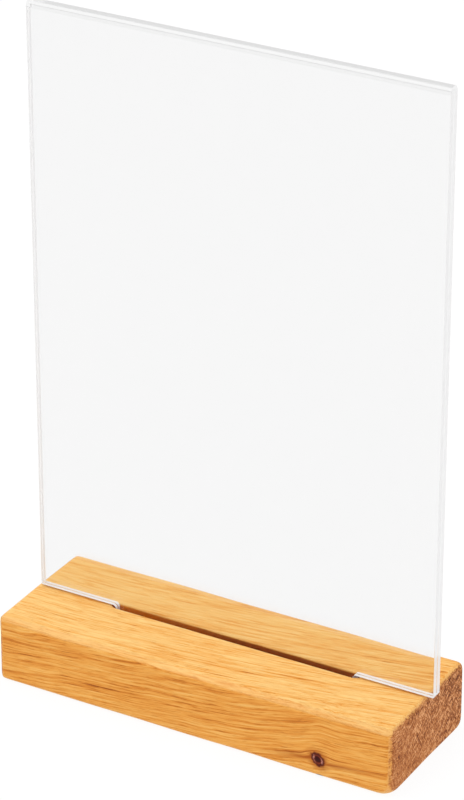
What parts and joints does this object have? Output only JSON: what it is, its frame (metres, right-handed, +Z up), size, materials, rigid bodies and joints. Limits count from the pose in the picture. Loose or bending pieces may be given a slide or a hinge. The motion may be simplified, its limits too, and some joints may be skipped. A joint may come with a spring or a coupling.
{
  "type": "table sign holder",
  "caption": "Portrait table sign holder: a folded clear acrylic pocket, open at its sides, whose tongue plugs into a stopped slot in a solid oak block.",
  "frame": {"origin": "centre of the oak block's underside", "axes": "+X along the block to the right, +Y from front to back, +Z up"},
  "size_m": [0.1522, 0.052, 0.2377],
  "materials": {
    "oiled_oak": "satin",
    "clear_acrylic": "polished"
  },
  "bodies": {
    "base": {"oak_base": "oiled_oak"},
    "sleeve": {"acrylic_sleeve": "clear_acrylic"}
  },
  "joints": [
    {"name": "sleeve_lift", "type": "slide", "parent": "base", "child": "sleeve", "axis": [0, 0, 1], "range_m": [0, 0.03]}
  ]
}
